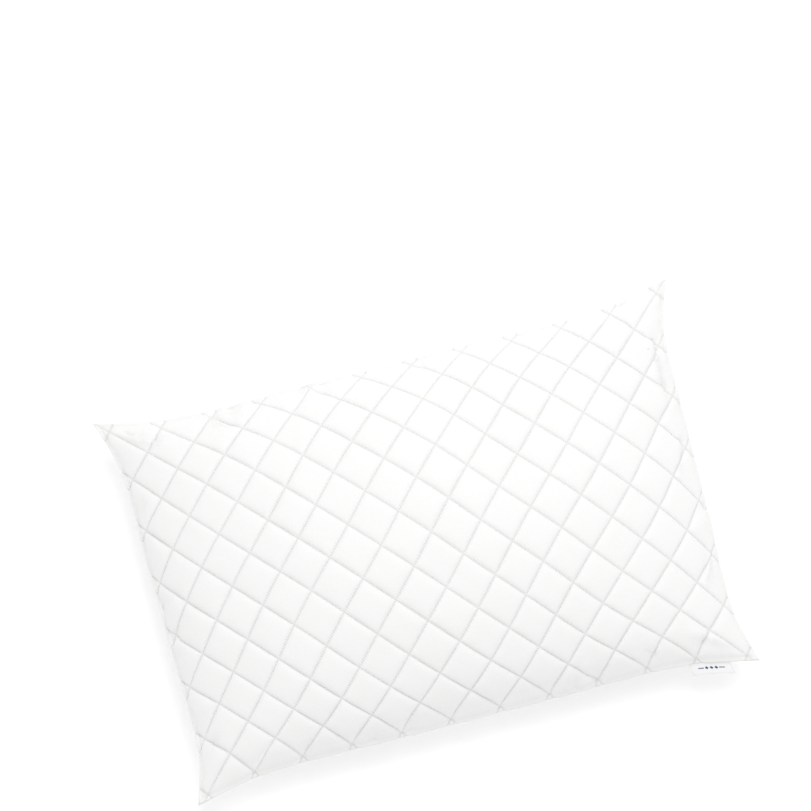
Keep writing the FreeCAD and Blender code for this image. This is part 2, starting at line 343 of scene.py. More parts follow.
    def add_cloth(self, piece: bpy.types.Object) -> None:
        """Sets up the cloth, whose rest shape is the flat cut.

        Args:
            piece: the joined panels, with their flat cut as a shape key.
        """
        cloth = piece.modifiers.new("cloth", "CLOTH")
        settings = cloth.settings
        settings.rest_shape_key = piece.data.shape_keys.key_blocks["cut"]
        values = {
            "quality": self.quality,
            "mass": self.point_mass,
            "tension_stiffness": self.stretch_stiffness,
            "compression_stiffness": self.stretch_stiffness,
            "shear_stiffness": self.shear_stiffness,
            "bending_stiffness": self.bend_stiffness,
            "use_pressure": True,
            "use_pressure_volume": True,
            "target_volume": self.volume,
            "pressure_factor": self.push,
            "uniform_pressure_force": 0.0,
        }
        for name, value in values.items():
            setattr(settings, name, value)
        settings.effector_weights.gravity = 0.0
        cloth.collision_settings.use_collision = False
        cloth.point_cache.frame_end = self.frames

    def press_on_bed(self, points: Array) -> Array:
        """Lowers the pillow onto the bed.

        Args:
            points: the simulated points, shaped (count, 3).

        Returns:
            The points with the far side spread a little and the underside flattened at height 0.
        """
        points = points.copy()
        points[:, 0] *= 1 + self.taper * points[:, 1] / (self.cut.width / 2)
        points[:, 2] -= points[:, 2].min() + self.bed_press
        soft = self.bed_softness
        height = points[:, 2]
        points[:, 2] = soft * np.logaddexp(0.0, height / soft)
        return points

    def fill_edges(self, grid: Array, flat: Array, side: Side) -> Array:
        """Draws each side in beside the corners, and fills the top out to steep shoulders.

        Args:
            grid: a panel's points, shaped (along, across, 3).
            flat: their flat points.
            side: which panel it is.

        Returns:
            The moved points; the corner tips stay where they are.
        """
        share = flat / (np.array([self.cut.length, self.cut.width]) / 2)
        gap = 1 - np.abs(share)
        hollow = smooth_step(gap, *self.ear_start) * (1 - smooth_step(gap, *self.ear_end))
        nearness = np.sign(share) * np.abs(share) ** self.ear_reach
        moved = grid.copy()
        moved[..., :2] -= self.ear_pull * nearness * hollow[..., ::-1]
        if side is Side.TOP:
            inside = (1 - np.abs(share) ** self.seam_power).prod(-1, keepdims=True)
            roll = np.array(self.shoulder) * np.abs(share) ** self.shoulder_power * inside
            moved[..., :2] -= np.sign(share) * roll
            moved[..., 2] += roll.sum(-1)
        return moved

    def run(self) -> dict[Side, PanelSurface]:
        """Simulates the cover.

        Returns:
            A smooth surface for each panel.
        """
        flat = self.flat_grid()
        piece, top_ids, bottom_ids = self.joined_mesh(flat)
        self.add_cloth(piece)
        scene = bpy.context.scene
        scene.frame_start, scene.frame_end = 1, self.frames
        for number in range(1, self.frames + 1):
            scene.frame_set(number)
        shaped = piece.evaluated_get(bpy.context.evaluated_depsgraph_get()).to_mesh()
        points = np.zeros(len(shaped.vertices) * 3)
        shaped.vertices.foreach_get("co", points)
        bpy.data.objects.remove(piece)
        scene.frame_set(1)
        points = self.press_on_bed(points.reshape(-1, 3))
        size = points.max(0) - points.min(0)
        LOG.info("cover filled out to %.0f x %.0f x %.0f mm", *(size * 1000))
        grids = {Side.TOP: points[top_ids], Side.BOTTOM: points[bottom_ids]}
        grids = {side: self.fill_edges(grid, flat, side) for side, grid in grids.items()}
        return {side: PanelSurface(grid, self.cut, side) for side, grid in grids.items()}


# ---- the quilting's pattern ----


@dataclass(frozen=True)
class Fold:
    """A soft crease in the filled cloth, between two flat points."""

    start: tuple[float, float]
    end: tuple[float, float]
    width: float
    height: float

    def at(self, flat: Array) -> Array:
        """The crease's height: a ridge with a valley beside it that fades towards both ends.

        Args:
            flat: flat points, shaped (count, 2).

        Returns:
            The height at each point.
        """
        start, end = np.array(self.start), np.array(self.end)
        length = float(np.linalg.norm(end - start))
        way = (end - start) / length
        along = (flat - start) @ way / length
        bow = 0.08 * length * along * (1 - along)
        aside = ((flat - start) @ np.array([-way[1], way[0]]) + bow) / self.width
        fade = smooth_step(along, -0.15, 0.35) * smooth_step(-along, -1.15, -0.65)
        return self.height * fade * (np.exp(-(aside**2)) - 0.8 * np.exp(-((aside - 1.7) ** 2)))


TOP_FOLDS = (
    Fold((0.358, 0.196), (0.352, 0.098), 0.0042, 0.0042),
    Fold((0.366, 0.060), (0.342, -0.010), 0.0034, 0.0022),
    Fold((0.368, -0.100), (0.346, -0.150), 0.0034, 0.0026),
    Fold((0.352, -0.232), (0.298, -0.214), 0.0046, 0.0026),
    Fold((0.262, -0.243), (0.236, -0.214), 0.0030, 0.0018),
    Fold((-0.356, 0.236), (-0.300, 0.212), 0.0040, 0.0032),
    Fold((-0.240, 0.244), (-0.216, 0.210), 0.0034, 0.0026),
    Fold((-0.202, 0.244), (-0.192, 0.216), 0.0030, 0.0020),
    Fold((-0.362, 0.130), (-0.336, 0.150), 0.0034, 0.0020),
    Fold((-0.366, -0.200), (-0.336, -0.176), 0.0034, 0.0022),
    Fold((-0.300, -0.245), (-0.276, -0.222), 0.0036, 0.0026),
    Fold((-0.226, -0.246), (-0.214, -0.224), 0.0030, 0.0020),
)


@dataclass(frozen=True)
class QuiltPattern:
    """Diamond quilting over the flat cut: where its lines run and how the cloth puffs between them."""

    cut: Cut
    cell_length: float = 0.0668
    cell_width: float = 0.0699
    shift_along: float = 0.0
    shift_across: float = -0.003
    puff: float = 0.0032
    puff_power: float = 4.5
    groove: float = 0.0013
    groove_reach: float = 0.0019
    seam_roll: float = 0.0030
    seam_lift: float = 0.0018
    valley: float = 0.0016
    valley_place: float = 0.0052
    gather: float = 0.0028
    gather_reach: float = 0.026
    unevenness: float = 0.16
    seed: int = 11

    @property
    def spacing(self) -> float:
        """The distance between neighbouring lines of one family."""
        return self.cell_length * self.cell_width / math.hypot(self.cell_length, self.cell_width)

    def lattice(self, flat: Array) -> Array:
        """Lattice coordinates: a line of stitching runs at each whole number.

        Args:
            flat: flat points, with x and y last.

        Returns:
            Both coordinates of each point, in the same shape.
        """
        x = (flat[..., 0] - self.shift_along) / self.cell_length
        y = (flat[..., 1] - self.shift_across) / self.cell_width
        return np.stack([x + y, x - y], axis=-1)

    def flat(self, lattice: Array) -> Array:
        """The way back from lattice coordinates.

        Args:
            lattice: both coordinates of each point.

        Returns:
            The flat points, in the same shape.
        """
        x = (lattice[..., 0] + lattice[..., 1]) / 2 * self.cell_length + self.shift_along
        y = (lattice[..., 0] - lattice[..., 1]) / 2 * self.cell_width + self.shift_across
        return np.stack([x, y], axis=-1)

    def wander(self, flat: Array) -> Array:
        """How far the sewn lines stray from straight.

        Args:
            flat: flat points, shaped (count, 2).

        Returns:
            The shift of each point, nothing at the seams.
        """
        calm = smooth_step(self.cut.edge_distance(flat), 0.0, 0.05)[..., None]
        stray = [SmoothWaves(self.seed + k, 0.22).at(flat) for k in range(2)]
        return np.stack(stray, axis=-1) * 0.0009 * calm

    def gathers(self, flat: Array) -> Array:
        """Small folds that run inwards from the seam, where the shorter seam gathers the cloth.

        Args:
            flat: flat points, shaped (count, 2).

        Returns:
            The folds' height at each point.
        """
        half = np.array([self.cut.length / 2, self.cut.width / 2])
        total = np.zeros(len(flat))
        for axis in range(2):
            depth = half[axis] - np.abs(flat[:, axis])
            along = flat[:, 1 - axis] + 0.35 * depth * np.sign(flat[:, axis])
            line = np.stack([along, np.sign(flat[:, axis]) * (axis + 1.0)], axis=-1)
            folds = SmoothWaves(self.seed + 9, 0.030).at(line)
            bunches = smooth_step(SmoothWaves(self.seed + 20, 0.16, 5).at(line), -0.2, 1.2)
            fade = np.exp(-np.clip(depth, 0, None) / self.gather_reach)
            corner = smooth_step(half[1 - axis] - np.abs(flat[:, 1 - axis]), 0.015, 0.06)
            edge = smooth_step(depth, 0.0, 0.008)
            total += self.gather * folds * bunches * fade * corner * edge
        return total

    def relief(self, flat: Array, folds: tuple[Fold, ...] = ()) -> Array:
        """The outer cloth's height above the panel's middle surface.

        Args:
            flat: flat points of the cut.
            folds: the creases that this panel has.

        Returns:
            The height at each point, nothing on the seam itself.
        """
        lattice = self.lattice(flat)
        share = lattice - np.floor(lattice)
        bulge = 1 - np.abs(2 * share - 1) ** self.puff_power
        strength = 1 + self.unevenness * SmoothWaves(self.seed + 5, 0.11).at(flat)
        edge = self.cut.edge_distance(flat)
        calm = 0.35 + 0.65 * smooth_step(edge, 0.002, 0.030)
        off_line = np.abs(lattice - np.round(lattice)).min(-1) * self.spacing
        pinch = np.exp(-((off_line / self.groove_reach) ** 2))
        roll = np.sqrt(1 - (1 - np.clip(edge / self.seam_roll, 0, 1)) ** 2)
        valley = self.valley * np.exp(-(((edge - self.valley_place) / 0.0018) ** 2))
        body = self.puff * bulge[..., 0] * bulge[..., 1] * strength * calm
        body += self.groove * (1 - pinch) + self.seam_lift - valley
        creases = sum((fold.at(flat) for fold in folds), np.zeros(len(flat)))
        return (body + self.gathers(flat) + creases) * roll

    def runs(self, family: Family) -> list[tuple[Array, Array]]:
        """Finds the lines of one family.

        Args:
            family: which way the lines run.

        Returns:
            The two flat ends of every line, inside the seams.
        """
        found = []
        reach = (self.cut.length / self.cell_length + self.cut.width / self.cell_width) / 2
        slope = family.value * self.cell_width / self.cell_length
        margin = 0.0025
        half = np.array([self.cut.length / 2 - margin, self.cut.width / 2 - margin])
        for k in range(-math.ceil(reach) - 1, math.ceil(reach) + 2):
            middle = self.shift_along + k * self.cell_length
            at_sides = sorted(middle + (y - self.shift_across) / slope for y in (-half[1], half[1]))
            start, end = max(-half[0], at_sides[0]), min(half[0], at_sides[1])
            if end - start > 0.004:
                ends = [np.array([x, self.shift_across + slope * (x - middle)]) for x in (start, end)]
                found.append((ends[0], ends[1]))
        return found


# ---- meshes ----


def new_piece(name: str, points: Array, faces: list, smooth: bool = True) -> bpy.types.Object:
    """Makes a mesh object at the origin.

    Args:
        name: the piece's name.
        points: its vertices, shaped (count, 3).
        faces: lists of vertex numbers, wound to face outwards.
        smooth: whether it is shaded smooth.

    Returns:
        The object, linked to the scene.
    """
    mesh = bpy.data.meshes.new(name)
    mesh.from_pydata(np.asarray(points).tolist(), [], [list(map(int, face)) for face in faces])
    mesh.update()
    if smooth:
        mesh.polygons.foreach_set("use_smooth", np.ones(len(mesh.polygons), dtype=bool))
    piece = bpy.data.objects.new(name, mesh)
    bpy.context.scene.collection.objects.link(piece)
    return piece


@dataclass
class FlatMesh:
    """A mesh of the flat cut: its points, its faces and the loop round its edge."""

    points: Array
    faces: list[list[int]]
    rim: list[tuple[int, int]]


@dataclass(frozen=True)
class FlatMesher:
    """Divides the flat cut along the quilting's diamonds, closer together beside each line."""

    pattern: QuiltPattern
    shares: tuple[float, ...]
    edge_rows: tuple[float, ...]

    def lattice_mesh(self) -> tuple[Array, list[list[int]]]:
        """Divides every diamond that the cut reaches.

        Returns:
            Flat points and quads, before they are trimmed.
        """
        cut = self.pattern.cut
        corners = np.array([[x, y] for x in (-1, 1) for y in (-1, 1)]) * [cut.length / 2, cut.width / 2]
        reach = self.pattern.lattice(corners)
        low, high = np.floor(reach.min(0)).astype(int), np.ceil(reach.max(0)).astype(int)
        steps = np.array(self.shares)
        marks = [
            np.unique(np.concatenate([cell + steps for cell in range(low[k], high[k])]).round(9))
            for k in range(2)
        ]
        flat = self.pattern.flat(np.stack(np.meshgrid(*marks, indexing="ij"), axis=-1))
        count = flat.shape[:2]
        ids = np.arange(count[0] * count[1]).reshape(count)
        quads = np.stack([ids[:-1, :-1], ids[:-1, 1:], ids[1:, 1:], ids[1:, :-1]], axis=-1).reshape(-1, 4)
        points = flat.reshape(-1, 2)
        inside = (np.abs(points[quads]) < [cut.length / 2, cut.width / 2]).all(-1).any(-1)
        return points, quads[inside].tolist()

    def build(self) -> FlatMesh:
        """Trims the lattice to the cut and adds rows of edges beside the seams.

        Returns:
            The trimmed mesh.
        """
        points, quads = self.lattice_mesh()
        mesh = bpy.data.meshes.new("flat")
        mesh.from_pydata(np.column_stack([points, np.zeros(len(points))]).tolist(), [], quads)
        work = bmesh.new()
        work.from_mesh(mesh)
        bpy.data.meshes.remove(mesh)
        loose = [v for v in work.verts if not v.link_faces]
        bmesh.ops.delete(work, geom=loose, context="VERTS")
        half = (self.pattern.cut.length / 2, self.pattern.cut.width / 2)
        for depth in (0.0, *self.edge_rows):
            for axis in range(2):
                for sign in (-1, 1):
                    place, normal = Vector((0, 0, 0)), Vector((0, 0, 0))
                    place[axis] = sign * (half[axis] - depth)
                    normal[axis] = sign
                    everything = work.verts[:] + work.edges[:] + work.faces[:]
                    bmesh.ops.bisect_plane(
                        work,
                        geom=everything,
                        dist=0.00025,
                        plane_co=place,
                        plane_no=normal,
                        clear_outer=depth == 0.0,
                    )
        work.faces.ensure_lookup_table()
        work.verts.index_update()
        work.normal_update()
        if work.faces[0].normal.z < 0:
            bmesh.ops.reverse_faces(work, faces=work.faces[:])
        flat = np.array([v.co[:2] for v in work.verts])
        faces = [[v.index for v in face.verts] for face in work.faces]
        rim = []
        for face in work.faces:
            for loop in face.loops:
                if loop.edge.is_boundary:
                    rim.append((loop.vert.index, loop.link_loop_next.vert.index))
        work.free()
        for axis in range(2):
            near = half[axis] - np.abs(flat[:, axis]) < 0.0004
            flat[near, axis] = np.sign(flat[near, axis]) * half[axis]
        LOG.info("flat mesh: %d faces", len(faces))
        return FlatMesh(flat, faces, rim)


class Shell:
    """A closed layer of a panel between an outer and an inner height."""

    def __init__(self, surface: PanelSurface, pattern: QuiltPattern, flat: FlatMesh) -> None:
        """Looks up the panel's surface under every point of a flat mesh.

        Args:
            surface: the panel's middle surface.
            pattern: the quilting, for the way that its lines stray.
            flat: the flat mesh.
        """
        self.surface = surface
        self.flat = flat
        self.place, self.normal, _, _ = surface.frame_at(flat.points + pattern.wander(flat.points))
        self.pattern = pattern

    def level(self, height: Array | float, floor: float) -> Array:
        """Points at a height along the normal.

        Args:
            height: one height, or one for each point.
            floor: the lowest that this layer lies over the bed, for the underside.

        Returns:
            The points, shaped (count, 3).
        """
        points = self.place + self.normal * np.broadcast_to(height, len(self.place))[:, None]
        if self.surface.side is Side.BOTTOM:
            soft = 0.0012
            points[:, 2] = floor + soft * np.logaddexp(0.0, (points[:, 2] - floor) / soft)
        return points

    def build(self, name: str, outer: Array, inner: Array) -> bpy.types.Object:
        """Makes the closed piece between two levels.

        Args:
            name: the piece's name.
            outer: points on its outer side.
            inner: points on its inner side.

        Returns:
            The piece, with a UV map of lattice coordinates and one of flat metres.
        """
        count = len(outer)
        faces = [list(face) for face in self.flat.faces]
        faces += [[i + count for i in reversed(face)] for face in self.flat.faces]
        faces += [[b, a, a + count, b + count] for a, b in self.flat.rim]
        if self.surface.side is Side.BOTTOM:
            faces = [face[::-1] for face in faces]
        piece = new_piece(name, np.concatenate([outer, inner]), faces)
        self.add_maps(piece)
        return piece

    def add_maps(self, piece: bpy.types.Object) -> None:
        """Adds the UV maps that the cloth's finish follows.

        Args:
            piece: a piece of this shell, outer points first.
        """
        corner = np.zeros(len(piece.data.loops), dtype=np.int32)
        piece.data.loops.foreach_get("vertex_index", corner)
        flat = np.concatenate([self.flat.points, self.flat.points])[corner]
        for name, value in (("quilt", self.pattern.lattice(flat)), ("cloth", flat)):
            layer = piece.data.uv_layers.new(name=name)
            layer.data.foreach_set("uv", np.ascontiguousarray(value, dtype=np.float32).ravel())


# ---- finishes ----


class Nodes:
    """A short way to build a material's node tree."""

    def __init__(self, name: str) -> None:
        """Starts an empty material with a Principled shader.

        Args:
            name: the material's name.
        """
        self.material = bpy.data.materials.new(name)
        self.material.use_nodes = True
        self.tree = self.material.node_tree
        self.shader = self.tree.nodes["Principled BSDF"]

    def add(self, kind: str, inputs: dict | None = None, **settings: object) -> bpy.types.Node:
        """Adds a node.

        Args:
            kind: the node's type, without its ShaderNode prefix.
            inputs: values or sockets for its inputs, by name or number.
            settings: the node's own properties.

        Returns:
            The node.
        """
        node = self.tree.nodes.new("ShaderNode" + kind)
        for key, value in settings.items():
            setattr(node, key, value)
        for key, value in (inputs or {}).items():
            self.feed(node, key, value)
        return node

    def feed(self, node: bpy.types.Node, key: str | int, value: object) -> None:
        """Links a socket into an input, or sets the input's value.

        Args:
            node: the node to feed.
            key: its input, by name or number.
            value: a socket or a plain value.
        """
        if isinstance(value, bpy.types.NodeSocket):
            self.tree.links.new(value, node.inputs[key])
        else:
            node.inputs[key].default_value = value

    def maths(self, operation: str, *values: object) -> bpy.types.NodeSocket:
        """A Math node's output."""
        return self.add("Math", dict(enumerate(values)), operation=operation).outputs[0]

    def ramp(self, value: bpy.types.NodeSocket, low: float, high: float) -> bpy.types.NodeSocket:
        """Goes smoothly from 0 to 1 as a value goes from low to high."""
        span = {"Value": value, "From Min": low, "From Max": high}
        return self.add("MapRange", span, interpolation_type="SMOOTHSTEP").outputs[0]

    def noise(
        self, place: bpy.types.NodeSocket, scale: float, detail: float, roughness: float, **more: float
    ) -> bpy.types.NodeSocket:
        """A noise texture's value."""
        inputs = {"Vector": place, "Scale": scale, "Detail": detail, "Roughness": roughness, **more}
        return self.add("TexNoise", inputs).outputs[0]

    def tint(self, factor: bpy.types.NodeSocket, colour: Colour, dark: float) -> bpy.types.NodeSocket:
        """Goes from a darker share of a colour to the colour itself as a factor goes from 0 to 1."""
        low = (*(c * dark for c in colour), 1.0)
        return self.blend(factor, low, (*colour, 1.0))

    def blend(self, factor: bpy.types.NodeSocket, low: object, high: object) -> bpy.types.NodeSocket:
        """Mixes two colours or colour sockets."""
        node = self.add("Mix", {"Factor": factor, "A": low, "B": high}, data_type="RGBA")
        return node.outputs["Result"]

    def dress(
        self, colour: bpy.types.NodeSocket, normal: bpy.types.NodeSocket, roughness: float, sheen: float
    ) -> bpy.types.Material:
        """Feeds the shader.

        Args:
            colour: the base colour.
            normal: the bumped normal.
            roughness: the shader's roughness.
            sheen: the weight of its sheen.

        Returns:
            The finished material.
        """
        self.feed(self.shader, "Base Color", colour)
        self.feed(self.shader, "Normal", normal)
        self.feed(self.shader, "Roughness", roughness)
        self.feed(self.shader, "Sheen Weight", sheen)
        return self.material


@dataclass(frozen=True)
class QuiltedClothFinish:
    """Brushed white microfibre with a fine weave, puckers along its stitched lines, and painted shade
    darkening the cloth along each line.
    """

    name: str
    pattern: QuiltPattern
    colour: Colour = (0.905, 0.903, 0.898)
    roughness: float = 0.82
    sheen: float = 0.25
    pucker_pitch: float = 0.0032
    pucker_reach: float = 0.0042
    pucker_height: float = 0.0004
    # Painted shade: the next two values give how close to each stitched line, and by what share, the
    # cloth's colour is darkened to stand for the shade in its grooves.
    shade_reach: float = 0.0017
    shade: float = 0.11
    weave_pitch: float = 0.0007
    weave_height: float = 0.00003
    tow_scale: float = 240.0
    tow_height: float = 0.00012
    crease_scale: float = 55.0
    crease_height: float = 0.0007

    def line_field(
        self, kit: Nodes, across: bpy.types.NodeSocket, along: bpy.types.NodeSocket
    ) -> bpy.types.NodeSocket:
        """The puckers of one family of lines.

        Args:
            kit: the material being built.
            across: the lattice coordinate that is whole on the family's lines.
            along: the one that runs along them.

        Returns:
            Their height, 0 to 1.
        """
        spacing = self.pattern.spacing
        side = math.hypot(self.pattern.cell_length, self.pattern.cell_width) / 2
        off = kit.maths("PINGPONG", across, 0.5)
        near = kit.ramp(off, self.pucker_reach / spacing, 0.0)
        wave = kit.maths("MULTIPLY", along, 2 * math.pi * side / self.pucker_pitch)
        ridge = kit.maths("MULTIPLY_ADD", kit.maths("SINE", wave), 0.5, 0.5)
        return kit.maths("MULTIPLY", near, ridge)

    def make(self) -> bpy.types.Material:
        """Builds the finish.

        Returns:
            The material.
        """
        kit = Nodes(self.name)
        lattice = kit.add("UVMap", uv_map="quilt").outputs[0]
        split = kit.add("SeparateXYZ", {0: lattice})
        first = self.line_field(kit, split.outputs[0], split.outputs[1])
        second = self.line_field(kit, split.outputs[1], split.outputs[0])
        puckers = kit.maths("MAXIMUM", first, second)
        # Painted shade: a mask that rises towards the nearest stitched line, used below to darken the
        # colour where the grooves would lie in shade.
        off = [kit.maths("PINGPONG", split.outputs[k], 0.5) for k in range(2)]
        nearest = kit.maths("MINIMUM", *off)
        line = kit.ramp(nearest, self.shade_reach / self.pattern.spacing, 0.0)
        flat = kit.add("UVMap", uv_map="cloth").outputs[0]
        tow = kit.noise(flat, self.tow_scale, 4.0, 0.6)
        weave = kit.add(
            "TexWave",
            {"Vector": flat, "Scale": 0.5 / self.weave_pitch / math.pi, "Distortion": 0.6, "Detail": 1.0},
            bands_direction="DIAGONAL",
        ).outputs["Fac"]
        crease = kit.noise(flat, self.crease_scale, 3.0, 0.55)
        height = kit.maths("MULTIPLY", puckers, self.pucker_height)
        depths = (self.crease_height, self.tow_height, self.weave_height)
        for texture, depth in zip((crease, tow, weave), depths):
            height = kit.maths("MULTIPLY_ADD", texture, depth, height)
        bump = kit.add("Bump", {"Height": height, "Strength": 1.0, "Distance": 1.0})
        # Painted shade: the cloth's colour darkened along the stitched lines, in place of the shade in the
        # grooves.
        painted_groove_shade_colour = (*(c * (1 - self.shade) for c in self.colour), 1.0)
        colour = kit.blend(line, kit.tint(tow, self.colour, 0.965), painted_groove_shade_colour)
        kit.feed(kit.shader, "Sheen Roughness", 0.5)
        kit.feed(kit.shader, "Specular IOR Level", 0.25)
        return kit.dress(colour, bump.outputs[0], self.roughness, self.sheen)


@dataclass(frozen=True)
class FibreFinish:
    """Loose or bonded white fibre, with a tangle of strands."""

    name: str
    colour: Colour
    scale: float
    roughness: float = 0.95
    height: float = 0.0006

    def make(self) -> bpy.types.Material:
        """Builds the finish.

        Returns:
            The material.
        """
        kit = Nodes(self.name)
        place = kit.add("TexCoord").outputs["Object"]
        strands = kit.noise(place, self.scale, 6.0, 0.7, Distortion=1.2)
        bump = kit.add("Bump", {"Height": strands, "Strength": 0.8, "Distance": self.height})
        colour = kit.tint(strands, self.colour, 0.9)
        return kit.dress(colour, bump.outputs[0], self.roughness, 0.2)


@dataclass(frozen=True)
class ThreadFinish:
    """Twisted white sewing thread with a slight gloss."""

    name: str
    colour: Colour = (0.90, 0.90, 0.90)

    def make(self) -> bpy.types.Material:
        """Builds the finish.

        Returns:
            The material.
        """
        kit = Nodes(self.name)
        place = kit.add("TexCoord").outputs["Object"]
        twist = kit.add(
            "TexWave", {"Vector": place, "Scale": 900.0, "Distortion": 1.0}, bands_direction="DIAGONAL"
        ).outputs["Fac"]
        bump = kit.add("Bump", {"Height": twist, "Strength": 0.5, "Distance": 0.0001})
        return kit.dress(kit.tint(twist, self.colour, 0.94), bump.outputs[0], 0.5, 0.15)


@dataclass(frozen=True)
class TapeFinish:
    """Woven satin ribbon: fine ribs across it and rows along it."""

    name: str
    colour: Colour
    rib_pitch: float = 0.0006

    def make(self) -> bpy.types.Material:
        """Builds the finish.

        Returns:
            The material.
        """
        kit = Nodes(self.name)
        flat = kit.add("UVMap", uv_map="tape").outputs[0]
        turns = 0.5 / self.rib_pitch / math.pi
        ribs = kit.add("TexWave", {"Vector": flat, "Scale": turns}, bands_direction="X").outputs["Fac"]
        rows = kit.add("TexWave", {"Vector": flat, "Scale": turns}, bands_direction="Y").outputs["Fac"]
        weave = kit.maths("MULTIPLY", ribs, rows)
        bump = kit.add("Bump", {"Height": weave, "Strength": 0.6, "Distance": 0.0002})
        return kit.dress(kit.tint(weave, self.colour, 0.95), bump.outputs[0], 0.42, 0.1)


# ---- stitches, by geometry nodes ----


@dataclass(frozen=True)
class StitchShape:
    """One stitch lying on the cloth: a short thread whose ends dip into it."""

    length: float = 0.0026
    radius: float = 0.00017
    sides: int = 5
    spans: int = 3
    arch: float = 0.00012

    def build(self, name: str) -> bpy.types.Object:
        """Makes the stitch along X, with its upper side towards Z.

        Args:
            name: the object's name.

        Returns:
            The stitch.
        """
        rings = []
        for i in range(self.spans + 1):
            share = i / self.spans
            dip = (2 * share - 1) ** 2
            radius = self.radius * (1 - 0.45 * dip)
            centre = np.array([(share - 0.5) * self.length, 0, self.arch - dip * self.radius * 1.3])
            turn = 2 * math.pi * np.arange(self.sides) / self.sides
            ring = np.stack([0 * turn, np.cos(turn), np.sin(turn)], axis=-1) * radius
            rings.append(centre + ring)
        faces = []
        for i in range(self.spans):
            for j in range(self.sides):
                a, b = i * self.sides + j, i * self.sides + (j + 1) % self.sides
                faces.append([a, a + self.sides, b + self.sides, b])
        last = self.spans * self.sides
        faces.append(list(range(self.sides)))
        faces.append([last + j for j in reversed(range(self.sides))])
        return new_piece(name, np.concatenate(rings), faces)


